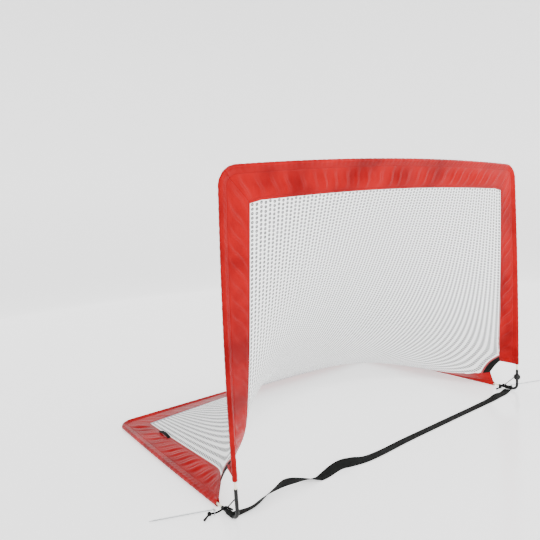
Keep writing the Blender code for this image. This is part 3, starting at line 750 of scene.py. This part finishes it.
netColumns = int(net["flat"][0] / net["cellAcross"])
netRows = int(net["flat"][1] / net["cellAlong"])
netCuts = [round(k * netColumns / net["panels"]) for k in range(net["panels"] + 1)]
netParts = []
for k in range(net["panels"]):
    part = makeNetPart(f"netPanel{k + 1}", netCuts[k], netCuts[k + 1], netColumns, netRows)
    foldCloth(part)
    share = (netCuts[k + 1] - netCuts[k]) / netColumns
    netParts.append(part)
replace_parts(netParts[0], "net")
print("net made,", netColumns, "by", netRows, "cells")


# Flat strip with rounded edges between two lines, for tape, binding and webbing.
def stripPiece(name, low, high, half, mat, across=9):
    along = unit(np.gradient(low, axis=0))
    normal = unit(np.cross(along, high - low))
    shares = np.linspace(0, 1, across)
    edge = np.minimum(shares, 1 - shares) * np.linalg.norm(high - low, axis=1).mean()
    round_ = np.sqrt(np.clip(1 - (1 - np.clip(edge / half, 0, 1)) ** 2, 0, 1)) * 0.75 + 0.25
    rings = []
    for a, b, n in zip(low, high, normal):
        middle = a + (b - a) * shares[:, None]
        thick = n * half * round_[:, None]
        rings.append(np.concatenate([middle + thick, (middle - thick)[::-1]]))
    return loftPiece(name, rings, mat)


# Hem tape inside the rear sleeve, and the webbing patch with its binding at each foot.
hemTape = {"width": 0.013, "half": 0.0008, "steps": 240}
rearIn = resample(whole(inner["rear"]), hemTape["steps"])
shares, atRear = np.linspace(0, 1, hemTape["steps"]), np.ones(hemTape["steps"])
inward = unit(onNet(shares, atRear * 0.985) - onNet(shares, atRear))
lift = netNormal(shares, atRear) * -0.0004
# The tape's material paints its white in grey-blue shade.
tape = stripPiece("rearHemTape", rearIn - inward * 0.002 + lift, rearIn + inward * hemTape["width"] + lift,
                  hemTape["half"], paintedShadeTapeMat)
foldCloth(tape)
patchEdge = {"bindFrom": 0.025, "runOn": 0.003, "patchHalf": 0.0008, "bindHalf": 0.0011}
for side, word in bothSides:
    free, seamLine = mirrored(freeLine, side), mirrored(netLine, side)
    step = unit(np.gradient(free, axis=0))
    for line in (free, seamLine):
        line[0] -= step[0] * patchEdge["runOn"]
        line[-1] += step[-1] * patchEdge["runOn"]
    split = free + (seamLine - free) * (patchEdge["bindFrom"] / net["patchArm"])
    outEdge, midEdge = resample(free, 60), resample(split, 60)
    netEdge = resample(seamLine + (seamLine - split) * 0.12, 60)
    patch = stripPiece(f"{word}CornerPatch", outEdge, midEdge, patchEdge["patchHalf"], webMat)
    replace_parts(patch, f"corner_patch_{word}")
    binding = stripPiece(f"{word}PatchBinding", midEdge, netEdge, patchEdge["bindHalf"], tapeRedMat)
    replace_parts(binding, f"patch_binding_{word}")
    foldCloth(patch)
    foldCloth(binding)
print("net edges made")

# Rods and hoses. Hose ends are open, with the rod inside them.
rods = {"rodRadius": 0.003, "hoseRadius": 0.0045, "hoseWall": 0.0012, "grip": 0.030, "postHoseZ": 0.080,
        "railHoseY": 0.068, "stop": 0.004, "bore": 0.012}
corner = goal["cornerRadius"] + rods["stop"]


def addRod(name, line, node, body):
    piece = loftPiece(name, tubeRings(line, rods["rodRadius"], 18), glassMat)
    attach(piece, body)
    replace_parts(piece, node)


def addHose(name, line, node):
    rings = tubeRings(line, rods["hoseRadius"], 22, rods["hoseWall"], rods["bore"])
    piece = loftPiece(name, rings, hoseMat)
    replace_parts(piece, node)
    return piece


topXs = np.linspace(-1, 1, 40) * (topReach - rods["stop"])
addRod("crossbarRod", [crossbarPoint(x) for x in topXs], "crossbar_rod", "mouth")
rearXs = np.linspace(-1, 1, 20) * (rearReach - rods["stop"])
addRod("rearRod", [rearPoint(x) for x in rearXs], "rear_rod", "base")
elbow = goal["elbowRadius"]
for side, word in bothSides:
    for limb, start, body in (("post", goal["rodZ"] + elbow, "mouth"),
                              ("rail", goal["mouthY"] + elbow, "base")):
        point, end = limbs[limb][0], limbs[limb][2]
        line = [point(side, w) for w in np.linspace(start + rods["stop"], end - corner, 50)]
        addRod(f"{word}{limb.title()}Rod", line, f"{limb}_rod_{word}", body)
    for limb, bar, reach, row, body in (("post", crossbarPoint, topReach, "top", "mouth"),
                                        ("rail", rearPoint, rearReach, "rear", "base")):
        point, end, arc = limbs[limb][0], limbs[limb][2] - goal["cornerRadius"], limbs[limb][3]
        grip = np.linspace(rods["grip"], rods["stop"], 6)
        line = [point(side, w) for w in end - grip]
        line += [*arc(side), *[bar(side * (reach - d)) for d in grip[::-1]]]
        piece = addHose(f"{word}{row.title()}Hose", line, f"corner_hose_{row}_{word}")
        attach(piece, body)
    bend = cornerArc(postPoint(side, goal["rodZ"]), np.array([0, 0, 1.0]), np.array([0, 1.0, 0]), elbow, 25)
    high = [postPoint(side, z) for z in np.linspace(rods["postHoseZ"], elbow + goal["rodZ"] + 0.002, 14)]
    far = [railPoint(side, goal["mouthY"] + y) for y in np.linspace(elbow + 0.002, rods["railHoseY"], 12)]
    piece = addHose(f"{word}ElbowHose", [*high, *bend, *far], f"elbow_hose_{word}")
    # The hose bends evenly round the fold axis, from the post's foot to the rail's end.
    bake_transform(piece, "base", "mouth", start=(0, foldY, foldZ - 0.018), end=(0, foldY - 0.018, foldZ))
    co = readPoints(piece)
    # down is 0 at the post and 90 degrees under the axis.
    down = np.degrees(np.arctan2(foldZ - co[:, 2], foldY - co[:, 1]))
    share = np.where(co[:, 2] > foldZ, 1.0, np.where(co[:, 1] > foldY, 0.0, 1 - np.clip(down / 90, 0, 1)))
    markPoints(piece, "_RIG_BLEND", share)
print("rods and hoses made")

# Ball stop on the right post's hose: a moulded ball with a bore.
ball = {"radius": 0.0115, "z": 0.053, "bore": 0.0049, "groove": 0.00025, "sides": 40}
centre = postPoint(1, ball["z"])
turn = roundTurn(ball["sides"])
ballTurn = np.stack([np.cos(turn), np.sin(turn), 0 * turn], 1)
up = np.array([0, 0, 1.0])
start = math.asin(ball["bore"] / ball["radius"])
rings = []
for tilt in np.linspace(start, math.pi - start, 24):
    r, h = ball["radius"] * math.sin(tilt), -ball["radius"] * math.cos(tilt)
    r -= ball["groove"] * math.exp(-((tilt - math.pi / 2) / 0.03) ** 2)
    rings.append(centre + r * ballTurn + h * up)
for h in (0.0095, 0, -0.0095):
    rings.append(centre + ball["bore"] * ballTurn + h * up)
ballPiece = loftPiece("rightBallStop", rings, absMat, closed=True)
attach(ballPiece, "mouth")
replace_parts(ballPiece, "ball_stop_right")

# Ground strap: 25 mm webbing, slack in its left half. A row is x, y from the mouth and twist in degrees.
strap = {
    "width": 0.025,
    "half": 0.0007,
    "lift": 0.0010,
    "route": [(-0.5915, 0.031, 0), (-0.545, 0.022, -20), (-0.5, 0.034, -36), (-0.474, 0.039, -50),
              (-0.428, 0.045, -76), (-0.382, 0.032, -44), (-0.33, 0.018, 5), (-0.262, 0.02, 58),
              (-0.224, 0.013, 48), (-0.174, 0.007, 15), (-0.107, 0.007, 5), (0.0, 0.012, 2),
              (0.15, 0.014, 0), (0.33, 0.015, 0), (0.45, 0.015, 4), (0.5, 0.017, 16),
              (0.545, 0.02, 4), (0.5915, 0.031, 0)],
}
route = np.array(strap["route"])
turned = np.radians(route[:, 2])
fine = smoothLine(np.column_stack([route[:, 0], goal["mouthY"] + route[:, 1], 0 * turned, turned]), 420)
twist, line = fine[:, 3], fine[:, :3]
line[:, 2] = strap["width"] / 2 * np.abs(np.sin(twist)) + strap["half"] + strap["lift"]
alongStrap = unit(np.gradient(line, axis=0))
acrossStrap = np.stack([0 * twist, np.cos(twist), np.sin(twist)], 1)
acrossStrap = unit(acrossStrap - alongStrap * (acrossStrap * alongStrap).sum(1, keepdims=True))
reach = acrossStrap * strap["width"] / 2
strapPiece = stripPiece("groundStrap", line - reach, line + reach, strap["half"], webMat, 13)
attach(strapPiece, "base")
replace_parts(strapPiece, "ground_strap")

# Webbing loops round the hoses that hold the strap's ends, with a lapped and bar-tacked joint on top.
wrap = {"reach": (0.0185, 0.0435), "wall": 0.0016, "gap": 0.0003}
for side, word in bothSides:
    path = [railPoint(side, goal["mouthY"] + y) for y in np.linspace(*wrap["reach"], 16)]
    radius = rods["hoseRadius"] + wrap["wall"] + wrap["gap"]
    rings = tubeRings(path, radius, 28, wrap["wall"], 0.0125, 0.0003)
    for k in range(2, len(rings) - 2):
        middle = rings[k].mean(0)
        spin = np.arctan2(rings[k][:, 2] - middle[2], rings[k][:, 0] - middle[0])
        lap = np.clip(1 - np.abs(spin - math.radians(70)) / 0.5, 0, 1)
        rings[k] = middle + (rings[k] - middle) * (1 + 0.10 * np.minimum(lap * 3, 1))[:, None]
    piece = loftPiece(f"{word}StrapLoop", rings, webMat)
    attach(piece, "base")
    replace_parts(piece, f"strap_loop_{word}")
print("strap made")

# Pegs, rings and ropes. Each route is out from the middle, back from the mouth, and up.
pegSets = {
    "left": {
        "rope": [(0.583, 0.047, 0.003), (0.5928, 0.052, 0.01), (0.5998, 0.054, 0.0138),
                 (0.6098, 0.056, 0.009), (0.622, 0.06, 0.0055), (0.6309, 0.064, 0.0056)],
        "knot": (0.637, 0.065, 0.0061),
        "tail": [(0.6427, 0.062, 0.0056), (0.651, 0.0575, 0.004), (0.657, 0.0545, 0.0033)],
        "ring": (0.6255, 0.0615, 0.0085),
        "turn": 0.35,
        "heading": (0.89, 0.46),
    },
    "right": {
        "rope": [(0.6165, 0.027, 0.0035), (0.6158, 0.034, 0.005), (0.614, 0.04, 0.0055),
                 (0.611, 0.045, 0.0072), (0.6064, 0.049, 0.0119), (0.5998, 0.0515, 0.0142),
                 (0.5934, 0.0529, 0.0122), (0.5906, 0.054, 0.0088)],
        "knot": (0.5835, 0.0545, 0.0061),
        "tail": [(0.5774, 0.0555, 0.0056), (0.571, 0.0572, 0.004), (0.565, 0.0588, 0.0033)],
        "ring": (0.6158, 0.0345, 0.0085),
        "turn": 1.45,
        "heading": (0.958, -0.285),
    },
}
peg = {"wire": 0.00175, "length": 0.150, "hook": 0.0032, "ring": 0.0075, "ringWire": 0.0007, "rope": 0.0023,
       "tail": 0.0030}
knot = {"turn": 0.0019, "weave": 0.0018, "rope": 0.0021, "intoKnot": 0.003}


# Overhand knot: three turns of the rope drawn tight round each other, kept inside a ball.
def makeKnot(name, centre, heading):
    t = roundTurn(90)
    big, small = knot["turn"], knot["weave"]
    x = (big + small * np.cos(3 * t)) * np.cos(2 * t)
    y = (big + small * np.cos(3 * t)) * np.sin(2 * t)
    z = small * 1.5 * np.sin(3 * t)
    spin = math.atan2(heading[1], heading[0])
    axes = np.array([[math.cos(spin), math.sin(spin), 0], [-math.sin(spin), math.cos(spin), 0], [0, 0, 1]])
    line = centre + np.stack([z, x, y], 1) @ axes
    along = unit(np.roll(line, -1, axis=0) - np.roll(line, 1, axis=0))
    away = unit(line - centre)
    sideways = unit(np.cross(along, away))
    upward = np.cross(sideways, along)
    ringTurn = roundTurn(14)
    rings = []
    for p, s, u in zip(line, sideways, upward):
        rings.append(p + knot["rope"] * (np.outer(np.cos(ringTurn), s) + np.outer(np.sin(ringTurn), u)))
    return loftPiece(name, rings, cordMat, closed=True)


for side, word in bothSides:
    plan = pegSets[word]
    flip = np.array([side, 1, 1])
    shift = np.array([0, goal["mouthY"], 0])
    knotAt, ringAt = (np.array(plan[key]) * flip + shift for key in ("knot", "ring"))
    rope = smoothLine(np.array(plan["rope"]) * flip + shift, 60)
    # The rope's end is drawn a little into its knot.
    rope[-8:] += unit(knotAt - rope[-1]) * knot["intoKnot"] * np.linspace(0.1, 1, 8)[:, None]
    ropePiece = loftPiece(f"{word}PegRope", tubeRings(rope, peg["rope"], 16), cordMat)
    knotPiece = makeKnot(f"{word}RopeKnot", knotAt, rope[-1] - rope[-8])
    tail = smoothLine(np.array(plan["tail"]) * flip + shift, 14)
    spread = np.interp(np.linspace(0, 1, 14), [0, 0.25, 0.7, 1], [0.0022, 0.0024, 0.0027, peg["tail"]])
    tailPiece = loftPiece(f"{word}RopeTail", tubeRings(tail, spread, 16), cordMat)
    facing = np.array([math.cos(plan["turn"]), side * math.sin(plan["turn"]), 0])
    flatSide = np.array([-facing[1], facing[0], 0])
    turn = roundTurn(56)
    wireTurn = roundTurn(10)
    rings = []
    for t in turn:
        out = math.cos(t) * flatSide + math.sin(t) * up
        wire = np.outer(np.cos(wireTurn), out) + np.outer(np.sin(wireTurn), facing)
        rings.append(ringAt + out * peg["ring"] + peg["ringWire"] * wire)
    ringPiece = loftPiece(f"{word}PegRing", rings, zincMat, closed=True)
    heading = unit(np.array([*plan["heading"], 0.0]))
    across = np.array([-math.sin(plan["turn"]), math.cos(plan["turn"]), 0]) * peg["ring"]
    outer = across if across @ heading > 0 else -across
    pin = ringAt + outer * flip
    heading = heading * flip
    beside = np.array([-heading[1] * side, heading[0] * side, 0])
    turns = np.linspace(math.pi * 1.45, math.pi / 2, 24)
    hook = [pin + peg["hook"] * (math.cos(t) * heading + math.sin(t) * beside) for t in turns]
    far = pin + heading * peg["length"] + beside * peg["hook"]
    tip = np.array([far[0], far[1], peg["wire"] + 0.0003])
    shank = [hook[-1] + (tip - hook[-1]) * t for t in np.linspace(0.04, 1, 30)]
    line = np.array(hook + shank)
    radii = np.full(len(line), peg["wire"])
    # The tip is ground to a point.
    radii[-4:] = peg["wire"] * np.array([1.0, 0.8, 0.5, 0.3])
    radii[0] = peg["wire"] * 0.9
    pegPiece = loftPiece(f"{word}Peg", tubeRings(line, radii, 16, lip=0.0002), zincMat)
    for piece, node in ((ropePiece, "peg_rope"), (knotPiece, "rope_knot"), (tailPiece, "rope_tail"),
                        (ringPiece, "peg_ring")):
        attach(piece, "base")
        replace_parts(piece, f"{node}_{word}")
    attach(pegPiece, f"{word}_peg")
    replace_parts(pegPiece, f"peg_{word}")

# Brace cords: thin lines tied across the bend of each foot, which stop it from opening too far.
brace = {"radius": 0.0015, "z": 0.053, "y": 0.047, "gap": 0.0006}
beside = rods["hoseRadius"] + brace["radius"] + brace["gap"]
for side, word in bothSides:
    start = postPoint(side, brace["z"]) + np.array([0, beside, 0])
    end = railPoint(side, goal["mouthY"] + brace["y"]) + np.array([0, 0, beside])
    if side > 0:
        start = start + unit(end - start) * (ball["radius"] - rods["hoseRadius"])
    line = start + (end - start) * np.linspace(0, 1, 24)[:, None]
    piece = loftPiece(f"{word}BraceCord", tubeRings(line, brace["radius"], 14, lip=0.0002), cordMat)
    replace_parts(piece, f"brace_cord_{word}")
    foldCloth(piece)
print("pegs and cords made")

# Storage loops: short webbing loops on the inner hems of the rail sleeves, slack between their two ends.
loop = {"from": 0.480, "to": 0.578, "width": 0.010, "half": 0.0007, "arch": 0.006}
for side, word in bothSides:
    hem = inner["rail"]
    hem = hem[(hem[:, 1] > goal["mouthY"] + loop["from"]) & (hem[:, 1] < goal["mouthY"] + loop["to"])]
    hem = mirrored(resample(hem, 9), side)
    rod = np.array([railPoint(side, y) for y in hem[:, 1]])
    across = unit(rod - hem)
    up = unit(np.cross(across, np.array([0, side, 0.0])))
    arch = np.sin(np.linspace(0, math.pi, 9))[:, None]
    middle = hem + across * (loop["width"] / 2 + 0.002) + up * (loop["half"] + 0.0020 + arch * loop["arch"])
    both = smoothLine(np.column_stack([middle, across]), 60)
    middle, across = both[:, :3], unit(both[:, 3:])
    reach = across * loop["width"] / 2
    piece = stripPiece(f"{word}StorageLoop", middle - reach, middle + reach, loop["half"], webMat)
    foldCloth(piece)
    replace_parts(piece, f"storage_loop_{word}")
print("storage loops made")

# Plain glossy white floor that sweeps up all round, and soft studio light.
studio = {"flatRadius": 3.0, "sweepRadius": 1.0, "wall": 3.4, "sides": 96, "glow": 1.1, "air": 0.5}
floorMat, tree, shader = startMaterial("whiteAcrylicFloor", {
    "Base Color": toLinear("#D2D2D2"), "Roughness": 0.16, "IOR": 1.45,
    "Emission Color": (1, 1, 1, 1), "Emission Strength": studio["glow"]})
# The floor is glossy, and the wall above it dull.
place = addNode(tree, "ShaderNodeTexCoord")
heightOf = addNode(tree, "ShaderNodeSeparateXYZ", links={0: place.outputs["Object"]})
dull = addNode(tree, "ShaderNodeMapRange", {"From Max": 0.3, "To Min": 0.16, "To Max": 0.9},
               {0: heightOf.outputs[2]})
tree.links.new(dull.outputs[0], shader.inputs["Roughness"])
sides = studio["sides"]
turn = roundTurn(sides)
flat, curve = studio["flatRadius"], studio["sweepRadius"]
profile = [(0.001, 0), (2.0, 0), (flat, 0)]
rise = np.linspace(0.1, math.pi / 2, 14)
profile += [(flat + math.sin(a) * curve, curve - curve * math.cos(a)) for a in rise]
profile += [(flat + curve, studio["wall"])]
verts, faces = [], []
for r, z in profile:
    verts += [(r * math.cos(t), r * math.sin(t), z) for t in turn]
for i in range(len(profile) - 1):
    for j in range(sides):
        n = (j + 1) % sides
        faces.append((i * sides + j, i * sides + n, (i + 1) * sides + n, (i + 1) * sides + j))
faces.append(tuple(range(sides)))
sweep = addPiece("studioSweep", verts, faces, floorMat)


def softBox(name, place, target, size, power):
    light = bpy.data.lights.new(name, "AREA")
    light.shape, light.size, light.size_y, light.energy = "RECTANGLE", size[0], size[1], power
    lamp = bpy.data.objects.new(name, light)
    lamp.location = place
    forward = unit(np.array(target, float) - np.array(place, float))
    lamp.rotation_euler = (math.acos(-forward[2]), 0, math.atan2(forward[1], forward[0]) - math.pi / 2)
    collection.link(lamp)


softBox("keyLight", (-0.6, -2.4, 2.7), (0, -0.3, 0.5), (1.1, 0.5), 95)
softBox("fillLight", (2.4, -2.2, 1.8), (0, -0.2, 0.3), (1.0, 1.0), 22)
softBox("topLight", (0.0, 0.4, 3.4), (0, 0, 0.2), (1.6, 1.6), 45)
world = bpy.data.worlds.new("studioAir")
bpy.context.scene.world = world
world.use_nodes = True
air = world.node_tree.nodes["Background"]
air.inputs["Color"].default_value = (1, 1, 1, 1)
air.inputs["Strength"].default_value = studio["air"]
print("studio made")
